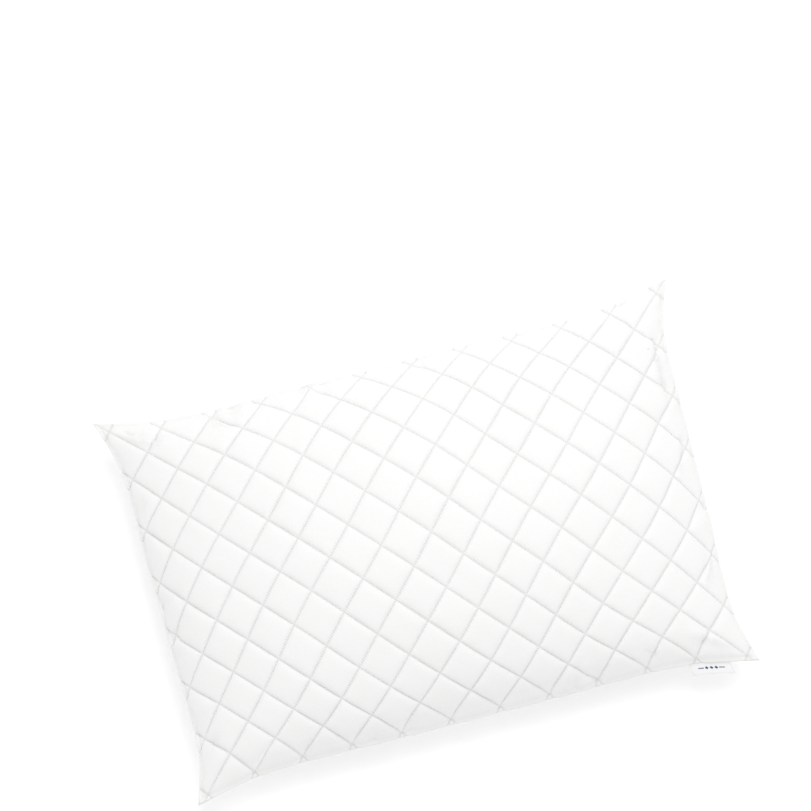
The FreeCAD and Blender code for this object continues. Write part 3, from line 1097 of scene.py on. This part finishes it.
class StitchLayer:
    """Lays copies of a stitch along paths, with a geometry-nodes tree built here."""

    def __init__(self) -> None:
        """Builds the tree once; each use of it sets its own inputs."""
        self.tree = bpy.data.node_groups.new("stitches_along_paths", "GeometryNodeTree")
        self.sockets: dict[str, str] = {}
        self._build()

    def _input(self, name: str, kind: str, value: object = None) -> None:
        """Adds a named input and remembers its identifier.

        Args:
            name: the input's name.
            kind: its socket type.
            value: its default, if it has one.
        """
        socket = self.tree.interface.new_socket(name, in_out="INPUT", socket_type=kind)
        if value is not None:
            socket.default_value = value
        self.sockets[name] = socket.identifier

    def _build(self) -> None:
        """Wires the tree: paths, evenly spaced points, turned copies, real faces, material."""
        self._input("Paths", "NodeSocketGeometry")
        self._input("Stitch", "NodeSocketObject")
        self._input("Pitch", "NodeSocketFloat", 0.0032)
        self._input("Slant", "NodeSocketFloat", 0.0)
        self._input("Variation", "NodeSocketFloat", 0.08)
        self._input("Seed", "NodeSocketInt", 3)
        self._input("Material", "NodeSocketMaterial")
        self.tree.interface.new_socket("Stitches", in_out="OUTPUT", socket_type="NodeSocketGeometry")
        nodes, link = self.tree.nodes, self.tree.links.new
        start, end = nodes.new("NodeGroupInput"), nodes.new("NodeGroupOutput")
        curve = nodes.new("GeometryNodeMeshToCurve")
        link(start.outputs["Paths"], curve.inputs[0])
        spaced = nodes.new("GeometryNodeResampleCurve")
        spaced.mode = "LENGTH"
        link(curve.outputs[0], spaced.inputs["Curve"])
        link(start.outputs["Pitch"], spaced.inputs["Length"])
        up = nodes.new("GeometryNodeInputNamedAttribute")
        up.data_type = "FLOAT_VECTOR"
        up.inputs["Name"].default_value = "up"
        along = nodes.new("GeometryNodeInputTangent")
        turned = nodes.new("FunctionNodeAxesToRotation")
        turned.primary_axis, turned.secondary_axis = "Z", "X"
        link(up.outputs["Attribute"], turned.inputs["Primary Axis"])
        link(along.outputs[0], turned.inputs["Secondary Axis"])
        slant = nodes.new("FunctionNodeAxisAngleToRotation")
        slant.inputs["Axis"].default_value = (0, 0, 1)
        link(start.outputs["Slant"], slant.inputs["Angle"])
        rotation = nodes.new("FunctionNodeRotateRotation")
        rotation.rotation_space = "LOCAL"
        link(turned.outputs[0], rotation.inputs["Rotation"])
        link(slant.outputs[0], rotation.inputs["Rotate By"])
        chance = nodes.new("FunctionNodeRandomValue")
        chance.data_type = "FLOAT"
        least, most = nodes.new("ShaderNodeMath"), nodes.new("ShaderNodeMath")
        least.operation, most.operation = "SUBTRACT", "ADD"
        least.inputs[0].default_value = most.inputs[0].default_value = 1.0
        link(start.outputs["Variation"], least.inputs[1])
        link(start.outputs["Variation"], most.inputs[1])
        floats = [s for s in chance.inputs if s.type == "VALUE"]
        link(least.outputs[0], floats[0])
        link(most.outputs[0], floats[1])
        link(start.outputs["Seed"], chance.inputs["Seed"])
        info = nodes.new("GeometryNodeObjectInfo")
        link(start.outputs["Stitch"], info.inputs["Object"])
        copies = nodes.new("GeometryNodeInstanceOnPoints")
        link(spaced.outputs[0], copies.inputs["Points"])
        link(info.outputs["Geometry"], copies.inputs["Instance"])
        link(rotation.outputs[0], copies.inputs["Rotation"])
        value = [s for s in chance.outputs if s.type == "VALUE"][0]
        link(value, copies.inputs["Scale"])
        real = nodes.new("GeometryNodeRealizeInstances")
        link(copies.outputs[0], real.inputs[0])
        finish = nodes.new("GeometryNodeSetMaterial")
        link(real.outputs[0], finish.inputs["Geometry"])
        link(start.outputs["Material"], finish.inputs["Material"])
        link(finish.outputs[0], end.inputs[0])

    def lay(
        self,
        name: str,
        paths: list[tuple[Array, Array]],
        shape: StitchShape,
        material: bpy.types.Material,
        **inputs: float,
    ) -> bpy.types.Object:
        """Lays stitches along paths.

        Args:
            name: the piece's name.
            paths: for each path, its points and the way up at each.
            shape: the stitch that is copied.
            material: the thread's material.
            inputs: other inputs of the tree, by name.

        Returns:
            One plain mesh of all the stitches.
        """
        points = np.concatenate([path for path, _ in paths])
        ups = np.concatenate([up for _, up in paths])
        edges, start = [], 0
        for path, _ in paths:
            edges += [(start + i, start + i + 1) for i in range(len(path) - 1)]
            start += len(path)
        mesh = bpy.data.meshes.new(name + "_paths")
        mesh.from_pydata(points.tolist(), edges, [])
        mesh.attributes.new("up", "FLOAT_VECTOR", "POINT").data.foreach_set(
            "vector", np.ascontiguousarray(ups, dtype=np.float32).ravel()
        )
        holder = bpy.data.objects.new(name + "_paths", mesh)
        bpy.context.scene.collection.objects.link(holder)
        stitch = shape.build(name + "_stitch")
        modifier = holder.modifiers.new("stitches", "NODES")
        modifier.node_group = self.tree
        modifier[self.sockets["Stitch"]] = stitch
        modifier[self.sockets["Material"]] = material
        for key, value in inputs.items():
            modifier[self.sockets[key]] = value
        graph = bpy.context.evaluated_depsgraph_get()
        made = bpy.data.meshes.new_from_object(holder.evaluated_get(graph))
        made.name = name
        holder.modifiers.remove(modifier)
        bpy.data.objects.remove(holder)
        bpy.data.objects.remove(stitch)
        piece = bpy.data.objects.new(name, made)
        bpy.context.scene.collection.objects.link(piece)
        made.polygons.foreach_set("use_smooth", np.ones(len(made.polygons), dtype=bool))
        LOG.info("%s: %d faces", name, len(made.polygons))
        return piece


def hand_over(piece: bpy.types.Object, slot: str, *replaced: str) -> bpy.types.Object:
    """Puts a finished piece on the part's body and hides the CAD nodes that it stands for.

    Args:
        piece: the finished piece.
        slot: not used.
        replaced: the CAD nodes that it stands for.

    Returns:
        The piece.
    """
    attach(piece, BODY)
    if replaced:
        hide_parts(*replaced)
    LOG.info("built %s (%d faces)", piece.name, len(piece.data.polygons))
    return piece


# ---- sub-assemblies ----


@dataclass
class Finishes:
    """The materials of every piece, made once."""

    pattern: QuiltPattern
    cloth: bpy.types.Material = field(init=False)
    wadding: bpy.types.Material = field(init=False)
    backing: bpy.types.Material = field(init=False)
    thread: bpy.types.Material = field(init=False)
    fill: bpy.types.Material = field(init=False)
    tape: bpy.types.Material = field(init=False)
    motif: bpy.types.Material = field(init=False)

    def __post_init__(self) -> None:
        """Makes the materials."""
        self.cloth = QuiltedClothFinish("white_microfibre", self.pattern).make()
        self.wadding = FibreFinish("quilting_wadding", (0.92, 0.92, 0.91), 900.0).make()
        self.backing = FibreFinish("backing_cloth", (0.87, 0.87, 0.86), 1400.0, 0.9, 0.0002).make()
        self.thread = ThreadFinish("white_thread").make()
        self.fill = FibreFinish("loose_fibre", (0.93, 0.93, 0.92), 300.0, 0.98, 0.002).make()
        self.tape = TapeFinish("label_satin", (0.97, 0.97, 0.97)).make()
        self.motif = TapeFinish("motif_thread", (0.055, 0.085, 0.20)).make()


@dataclass
class QuiltedPanel:
    """One side of the cover: face cloth, wadding, backing and the threads that hold them."""

    side: Side
    surface: PanelSurface
    pattern: QuiltPattern
    finishes: Finishes
    cloth_thickness: float = 0.0005
    wadding_gap: float = 0.0002
    backing_depth: float = 0.0030
    backing_thickness: float = 0.0004
    stitch_pitch: float = 0.0032

    @property
    def folds(self) -> tuple[Fold, ...]:
        """The creases of this side; the underside lies smoothed out on the bed."""
        return TOP_FOLDS if self.side is Side.TOP else ()

    def build_cloths(self, fine: FlatMesh, coarse: FlatMesh) -> None:
        """Makes the face cloth, the wadding and the backing, each a closed layer.

        Args:
            fine: the flat mesh for the face cloth.
            coarse: the flat mesh for the layers under it.
        """
        shell = Shell(self.surface, self.pattern, fine)
        relief = self.pattern.relief(fine.points, self.folds)
        edge = self.pattern.cut.edge_distance(fine.points)
        share = np.clip(edge / 0.001, 0.0, 1.0)
        thickness = self.cloth_thickness * (0.4 + 0.6 * share)
        face = shell.build(
            f"{self.side.value}_face_cloth",
            shell.level(relief, 0.0),
            shell.level(relief - thickness, self.cloth_thickness),
        )
        face.data.materials.append(self.finishes.cloth)
        hand_over(face, "face_fabric", f"{self.side.value}_face_fabric")
        self.build_lining(coarse)

    def build_lining(self, coarse: FlatMesh) -> None:
        """Makes the wadding and the backing, which lie under the face cloth.

        Args:
            coarse: the flat mesh for both.
        """
        shell = Shell(self.surface, self.pattern, coarse)
        relief = self.pattern.relief(coarse.points, self.folds)
        edge = self.pattern.cut.edge_distance(coarse.points)
        room = smooth_step(edge, 0.0, 0.012)
        under = relief - self.cloth_thickness - 0.0009
        depth = self.backing_depth * room
        wadding = shell.build(
            f"{self.side.value}_quilt_wadding",
            shell.level(under, 0.0012),
            shell.level(-depth - 0.0012, 0.0026),
        )
        wadding.data.materials.append(self.finishes.wadding)
        hand_over(wadding, "wadding", f"{self.side.value}_wadding")
        backing = shell.build(
            f"{self.side.value}_quilt_backing",
            shell.level(-depth - 0.0014, 0.0028),
            shell.level(-depth - 0.0014 - self.backing_thickness, 0.0032),
        )
        backing.data.materials.append(self.finishes.backing)
        hand_over(backing, "backing_cloth", f"{self.side.value}_backing")

    def paths(self, family: Family, lift: float, inner: bool) -> list[tuple[Array, Array]]:
        """Where the thread of one family runs.

        Args:
            family: which way its lines run.
            lift: how far off the cloth it lies.
            inner: whether it is the bobbin thread, on the inner side.

        Returns:
            For each line, its points and the way up at each.
        """
        found = []
        for start, end in self.pattern.runs(family):
            count = max(2, round(float(np.linalg.norm(end - start)) / 0.004))
            flat = start + (end - start) * np.linspace(0, 1, count + 1)[:, None]
            place, normal, _, _ = self.surface.frame_at(flat + self.pattern.wander(flat))
            if inner:
                edge = self.pattern.cut.edge_distance(flat)
                height = -self.backing_depth * smooth_step(edge, 0.0, 0.012) - lift
            else:
                height = self.pattern.relief(flat, self.folds) + lift
            points = place + normal * np.broadcast_to(height, len(place))[:, None]
            floor = 0.0034 if inner else 0.0001
            if self.side is Side.BOTTOM:
                points[:, 2] = np.maximum(points[:, 2], floor)
            found.append((points, -normal if inner else normal))
        return found

    def build_threads(self, layer: StitchLayer) -> None:
        """Sews both families of quilting lines, on the outer side and on the inner side.

        Args:
            layer: lays the stitches.
        """
        side = self.side.value
        lines = [path for family in Family for path in self.paths(family, 0.00005, inner=False)]
        outer = layer.lay(
            f"{side}_quilting_stitches", lines, StitchShape(), self.finishes.thread, Pitch=self.stitch_pitch
        )
        hand_over(outer, "thread", f"{side}_quilting_thread")
        bobbin = StitchShape(length=0.0031, radius=0.00018, sides=4, spans=2)
        lines = [path for family in Family for path in self.paths(family, 0.0019, inner=True)]
        inner = layer.lay(
            f"{side}_bobbin_stitches", lines, bobbin, self.finishes.thread, Pitch=self.stitch_pitch
        )
        hand_over(inner, "thread", f"{side}_bobbin_thread")


class SeamLine:
    """The seam's path round the pillow, with the ways out of it and up from it."""

    def __init__(self, surfaces: dict[Side, PanelSurface], cut: Cut) -> None:
        """Remembers both panels, which meet at the seam."""
        self.surfaces = surfaces
        self.half = np.array([cut.length / 2, cut.width / 2])

    def flat_loop(self, step: float, corner: float) -> Array:
        """Flat points round the seam, with each corner cut across by a little.

        Args:
            step: the usual distance from point to point.
            corner: how far before each corner the path turns.

        Returns:
            The points, shaped (count, 2).
        """
        half = self.half
        ends = [(-1, -1), (1, -1), (1, 1), (-1, 1)]
        points = []
        for i, (x, y) in enumerate(ends):
            here, there = np.array([x, y]) * half, np.array(ends[(i + 1) % 4]) * half
            way = (there - here) / np.linalg.norm(there - here)
            here, there = here + way * corner, there - way * corner
            count = max(2, round(float(np.linalg.norm(there - here)) / step))
            points.append(here + (there - here) * np.linspace(0, 1, count + 1)[:, None])
        return np.concatenate(points)

    def frames(self, flat: Array) -> tuple[Array, Array, Array]:
        """The seam's own directions.

        Args:
            flat: flat points of the seam.

        Returns:
            Their places, the ways out of the seam and the ways up from it.
        """
        place, up_normal, _, _ = self.surfaces[Side.TOP].frame_at(flat)
        _, down_normal, _, _ = self.surfaces[Side.BOTTOM].frame_at(flat)
        near = smooth_step(np.abs(flat), self.half - 0.025, self.half)
        inside = flat - 0.012 * np.sign(flat) * unit(near)
        top_in, _, _, _ = self.surfaces[Side.TOP].frame_at(inside)
        bottom_in, _, _, _ = self.surfaces[Side.BOTTOM].frame_at(inside)
        out = unit(place - (top_in + bottom_in) / 2)
        up = unit(up_normal - down_normal)
        up = unit(up - out * (up * out).sum(-1, keepdims=True))
        return place, out, up


@dataclass
class Seam:
    """What holds the two panels together: turned-in edges, seam stitches, overlock and closing."""

    line: SeamLine
    finishes: Finishes
    width: float = 0.010
    thickness: float = 0.0016
    corner: float = 0.028
    sewing_depth: float = 0.0022
    overlock_inset: float = 0.002
    stitch_pitch: float = 0.003
    closing_length: float = 0.200
    closing_pitch: float = 0.008

    def band(self, name: str, start: float, end: float, half: float) -> bpy.types.Object:
        """A closed flat ring inside the seam.

        Args:
            name: the piece's name.
            start: its distance from the seam.
            end: the distance of its far side.
            half: half its thickness.

        Returns:
            The ring.
        """
        flat = self.line.flat_loop(0.006, self.corner)
        place, out, up = self.line.frames(flat)
        section = [(-start, half), (-end, half), (-end, -half), (-start, -half)]
        rings = np.stack([place + out * a + up * b for a, b in section], axis=1)
        count = len(flat)
        faces = []
        for i in range(count):
            for j in range(4):
                a, b = i * 4 + j, i * 4 + (j + 1) % 4
                c, d = ((i + 1) % count) * 4 + (j + 1) % 4, ((i + 1) % count) * 4 + j
                faces.append([a, b, c, d])
        return new_piece(name, rings.reshape(-1, 3), faces, smooth=False)

    def build(self, layer: StitchLayer) -> None:
        """Makes the allowance and all the seam's threads.

        Args:
            layer: lays the stitches.
        """
        allowance = self.band("seam_allowance_band", 0.0012, self.width, self.thickness / 2)
        allowance.data.materials.append(self.finishes.backing)
        hand_over(allowance, "face_fabric", "seam_allowance")
        flat = self.line.flat_loop(0.004, self.corner)
        place, out, up = self.line.frames(flat)
        place, out, up = (np.concatenate([v, v[:1]]) for v in (place, out, up))

        def both_sides(depth: float) -> list[tuple[Array, Array]]:
            """Paths on the upper and the lower side of the allowance, this far from the seam."""
            half = self.thickness / 2
            return [(place - out * depth + up * side * half, up * side) for side in (1, -1)]

        thread = self.finishes.thread
        short = StitchShape(sides=4)
        sewn = layer.lay(
            "seam_stitches", both_sides(self.sewing_depth), short, thread, Pitch=self.stitch_pitch
        )
        hand_over(sewn, "thread", "seam_lockstitch_thread")
        loops = StitchShape(length=0.0044, sides=4, spans=2)
        paths = both_sides(self.width - self.overlock_inset)
        edge = layer.lay("overlock_stitches", paths, loops, thread, Pitch=0.0022, Slant=1.15)
        hand_over(edge, "thread", "seam_overlock_thread")
        self.build_closing(layer)

    def build_closing(self, layer: StitchLayer) -> None:
        """Whips the filling opening shut with slanting stitches across the far seam.

        Args:
            layer: lays the stitches.
        """
        count = round(self.closing_length / self.closing_pitch) + 1
        x = np.linspace(-self.closing_length / 2, self.closing_length / 2, count)
        flat = np.stack([x, np.full(count, self.line.half[1])], axis=-1)
        place, out, up = self.line.frames(flat)
        shape = StitchShape(length=0.0042, radius=0.00026, arch=0.0)
        piece = layer.lay(
            "closing_stitches",
            [(place + out * 0.0007, out)],
            shape,
            self.finishes.thread,
            Pitch=self.closing_pitch,
            Slant=1.0,
        )
        hand_over(piece, "thread", "closing_stitch_thread")


@dataclass
class Fill:
    """The loose fibre inside, one closed cushion under both linings."""

    surfaces: dict[Side, PanelSurface]
    pattern: QuiltPattern
    finishes: Finishes
    inset: float = 0.014
    depth: float = 0.0062

    def build(self) -> None:
        """Joins an inner level of both panels into one closed piece."""
        cut = self.pattern.cut
        half = np.array([cut.length / 2 - self.inset, cut.width / 2 - self.inset])
        along = np.linspace(-half[0], half[0], 97)
        across = np.linspace(-half[1], half[1], 65)
        flat = np.stack(np.meshgrid(along, across, indexing="ij"), axis=-1)
        lump = SmoothWaves(41, 0.06).at(flat) * 0.0008
        count = flat.shape[:2]
        levels = {}
        for side, surface in self.surfaces.items():
            place, normal, _, _ = surface.frame_at(flat.reshape(-1, 2))
            level = place - normal * (self.depth + np.abs(lump).reshape(-1, 1))
            if side is Side.BOTTOM:
                level[:, 2] = np.maximum(level[:, 2], self.depth)
            levels[side] = level.reshape(*count, 3)
        middle = (levels[Side.TOP] + levels[Side.BOTTOM]) / 2
        top = levels[Side.TOP]
        for edge in ((0, slice(None)), (-1, slice(None)), (slice(None), 0), (slice(None), -1)):
            top[edge] = middle[edge]
        points = np.concatenate([top.reshape(-1, 3), levels[Side.BOTTOM][1:-1, 1:-1].reshape(-1, 3)])
        _, _, quads = paired_sheets(count)
        piece = new_piece("fibre_filling", points, quads.tolist())
        piece.data.materials.append(self.finishes.fill)
        hand_over(piece, "fibre_fill", "fibre_fill")


@dataclass
class Label:
    """A folded woven tab in the near seam, with a plain woven motif."""

    line: SeamLine
    finishes: Finishes
    middle: float = 0.315
    width: float = 0.053
    drop: float = 0.0165
    tail: float = 0.0060
    thickness: float = 0.00028
    fold: float = 0.0006
    droop: float = 0.0022

    def tape_point(self, along: Array, reach: Array, lift: Array) -> Array:
        """Points of the tape.

        Args:
            along: distance along the seam from the label's middle.
            reach: distance out of the seam.
            lift: height over the label's middle plane.

        Returns:
            Their places.
        """
        flat = np.stack([self.middle + along, np.full_like(along, -self.line.half[1])], axis=-1)
        place, out, up = self.line.frames(flat)
        sag = self.droop * (np.clip(reach, 0, None) / self.drop) ** 2
        wave = 0.0006 * np.sin(along / self.width * 5.0 + 0.8) * np.clip(reach, 0, None) / self.drop
        return place + out * reach[:, None] + up * (lift - sag + wave)[:, None]

    def section(self, offset: float) -> tuple[Array, Array]:
        """The folded tape's section.

        Args:
            offset: how far out of the tape's middle line it is taken.

        Returns:
            Reach out of the seam and lift along the section.
        """
        radius = self.fold + offset
        straight = np.linspace(-self.tail, self.drop - self.fold, 12)
        turn = np.linspace(math.pi / 2, -math.pi / 2, 7)[1:-1]
        bend_reach = self.drop - self.fold + radius * np.cos(turn)
        reach = np.concatenate([straight, bend_reach, straight[::-1]])
        lift = np.concatenate([np.full(12, radius), radius * np.sin(turn), np.full(12, -radius)])
        return reach, lift

    def build(self) -> None:
        """Makes the folded tape and its motif."""
        columns = np.linspace(-self.width / 2, self.width / 2, 27)
        rows = {}
        for name, offset in (("outer", self.thickness / 2), ("inner", -self.thickness / 2)):
            reach, lift = self.section(offset)
            grid = [self.tape_point(np.full(len(reach), x), reach, lift) for x in columns]
            rows[name] = np.stack(grid)
        count = rows["outer"].shape[:2]
        ids = np.arange(count[0] * count[1]).reshape(count)
        total = ids.size
        corners = [ids[:-1, :-1], ids[1:, :-1], ids[1:, 1:], ids[:-1, 1:]]
        outer = np.stack([c.ravel() for c in corners], axis=-1)
        outer = outer[:, ::-1]
        faces = outer.tolist() + (outer[:, ::-1] + total).tolist()
        rim = np.concatenate([ids[:, 0], ids[-1, 1:], ids[-2::-1, -1], ids[0, -2:0:-1]])
        for a, b in zip(rim, np.roll(rim, -1)):
            faces.append([int(a), int(b), int(b) + total, int(a) + total])
        points = np.concatenate([rows["outer"].reshape(-1, 3), rows["inner"].reshape(-1, 3)])
        tape = new_piece("label_tab", points, faces)
        length = np.linspace(0, 2 * (self.drop + self.tail), count[1])
        flat = np.stack(np.meshgrid(columns, length, indexing="ij"), axis=-1).reshape(-1, 2)
        self.add_map(tape, np.concatenate([flat, flat]))
        tape.data.materials.append(self.finishes.tape)
        hand_over(tape, "label_tape", "label_tape")
        self.build_motif()

    @staticmethod
    def add_map(piece: bpy.types.Object, flat: Array) -> None:
        """Adds the tape's own UV map, in metres along and across it.

        Args:
            piece: the tape or its motif.
            flat: the flat place of each vertex.
        """
        corner = np.zeros(len(piece.data.loops), dtype=np.int32)
        piece.data.loops.foreach_get("vertex_index", corner)
        layer = piece.data.uv_layers.new(name="tape")
        layer.data.foreach_set("uv", flat[corner].astype(np.float32).ravel())

    def build_motif(self) -> None:
        """Weaves a row of small lozenges between two dashes on the tape's upper side."""
        lift = self.fold + self.thickness / 2
        points, faces, maps = [], [], []
        shapes = [(-0.0135, 0.0036, False), (0.0135, 0.0036, False)]
        shapes += [(x, 0.0024, True) for x in (-0.0062, 0.0, 0.0062)]
        for centre, half, lozenge in shapes:
            spans = 6
            share = np.linspace(-1, 1, spans + 1)
            across = 1 - np.abs(share) if lozenge else np.full(spans + 1, 0.34)
            high = 0.0022 if lozenge else 0.0018
            start = sum(len(p) for p in points)
            for level in (0.00001, 0.00009):
                for sign in (-1, 1):
                    along = centre + share * half
                    reach = self.drop * 0.47 + sign * np.maximum(across, 0.04) * high
                    points.append(self.tape_point(along, reach, np.full(spans + 1, lift + level)))
                    maps.append(np.stack([along, reach], axis=-1))
            n = spans + 1
            low_near, low_far, top_near, top_far = (start + k * n for k in range(4))
            for i in range(spans):
                faces.append([top_far + i, top_far + i + 1, top_near + i + 1, top_near + i])
                faces.append([low_near + i, low_near + i + 1, low_far + i + 1, low_far + i])
                faces.append([top_near + i, top_near + i + 1, low_near + i + 1, low_near + i])
                faces.append([low_far + i, low_far + i + 1, top_far + i + 1, top_far + i])
            faces.append([low_near, low_far, top_far, top_near])
            faces.append([low_near + spans, top_near + spans, top_far + spans, low_far + spans])
        piece = new_piece("label_woven_motif", np.concatenate(points), faces, smooth=False)
        work = bmesh.new()
        work.from_mesh(piece.data)
        bmesh.ops.recalc_face_normals(work, faces=work.faces[:])
        work.to_mesh(piece.data)
        work.free()
        self.add_map(piece, np.concatenate(maps))
        piece.data.materials.append(self.finishes.motif)
        hand_over(piece, "label_motif", "label_motif")


@dataclass
class Studio:
    """Pale floor, soft lights and the camera."""

    azimuth: float = -14.5
    elevation: float = 80.0
    distance: float = 5.2
    view_width: float = 0.998
    aim: tuple[float, float] = (-0.030, 0.165)

    def camera(self) -> None:
        """Places the camera so that the pillow lies low in its square view."""
        turn, tilt = math.radians(self.azimuth), math.radians(self.elevation)
        back = Vector((math.sin(turn) * math.cos(tilt), -math.cos(turn) * math.cos(tilt), math.sin(tilt)))
        right = Vector((math.cos(turn), math.sin(turn), 0))
        up = back.cross(right)
        centre = Vector((0, 0, 0.065)) + right * self.aim[0] + up * self.aim[1]
        data = bpy.data.cameras.new("camera")
        data.sensor_width = 36.0
        data.lens = data.sensor_width * self.distance / self.view_width
        data.clip_end = 50.0
        camera = bpy.data.objects.new("camera", data)
        bpy.context.scene.collection.objects.link(camera)
        camera.location = centre + back * self.distance
        camera.rotation_mode = "QUATERNION"
        camera.rotation_quaternion = (-back).to_track_quat("-Z", "Y")
        bpy.context.scene.camera = camera

    def floor(self) -> None:
        """Lays the pale floor."""
        floor = new_piece(
            "studio_floor",
            np.array([(-6, -6, 0), (6, -6, 0), (6, 6, 0), (-6, 6, 0)], dtype=float),
            [[0, 1, 2, 3]],
        )
        kit = Nodes("studio_floor")
        kit.feed(kit.shader, "Base Color", (0.97, 0.97, 0.97, 1.0))
        kit.feed(kit.shader, "Roughness", 0.9)
        kit.feed(kit.shader, "Emission Color", (1.0, 1.0, 1.0, 1.0))
        kit.feed(kit.shader, "Emission Strength", 0.14)
        floor.data.materials.append(kit.material)

    def area(self, name: str, place: tuple, size: float, power: float) -> None:
        """Hangs a square soft light that faces the pillow.

        Args:
            name: the light's name.
            place: where it hangs.
            size: the length of its side.
            power: its power in watts.
        """
        data = bpy.data.lights.new(name, "AREA")
        data.shape = "SQUARE"
        data.size = size
        data.energy = power
        light = bpy.data.objects.new(name, data)
        bpy.context.scene.collection.objects.link(light)
        light.location = place
        light.rotation_mode = "QUATERNION"
        light.rotation_quaternion = (Vector((0, 0, 0.05)) - Vector(place)).to_track_quat("-Z", "Y")

    def build(self) -> None:
        """Sets up everything around the pillow."""
        self.camera()
        self.floor()
        world = bpy.data.worlds.new("studio")
        world.use_nodes = True
        background = world.node_tree.nodes["Background"]
        background.inputs["Color"].default_value = (1.0, 1.0, 1.0, 1.0)
        background.inputs["Strength"].default_value = 0.80
        bpy.context.scene.world = world
        bpy.context.scene.view_settings.view_transform = "Standard"
        self.area("key_light", (0.58, 1.02, 2.6), 1.7, 26.0)
        self.area("fill_light", (-1.2, -0.9, 2.6), 2.0, 2.0)


def main() -> None:
    """Builds the pillow piece by piece."""
    logging.basicConfig(level=logging.INFO, format="%(name)s: %(message)s")
    cut = Cut()
    studio = Studio()
    studio.build()
    simulation = CoverSimulation(cut)
    surfaces = simulation.run()
    pattern = QuiltPattern(cut)
    finishes = Finishes(pattern)
    near_line = (0.0, 0.018, 0.040, 0.068, 0.11, 0.18, 0.29, 0.43)
    shares = near_line + tuple(1 - share for share in reversed(near_line))
    edge_rows = (0.0004, 0.001, 0.0018, 0.003, 0.0055, 0.009)
    fine = FlatMesher(pattern, shares, edge_rows).build()
    coarse = FlatMesher(pattern, (0.0, 0.05, 0.2, 0.5, 0.8, 0.95, 1.0), (0.003, 0.008)).build()
    layer = StitchLayer()
    for side, surface in surfaces.items():
        panel = QuiltedPanel(side, surface, pattern, finishes)
        panel.build_cloths(fine, coarse)
        panel.build_threads(layer)
    line = SeamLine(surfaces, cut)
    Seam(line, finishes).build(layer)
    Fill(surfaces, pattern, finishes).build()
    Label(line, finishes).build()


if __name__ == "__main__":
    main()
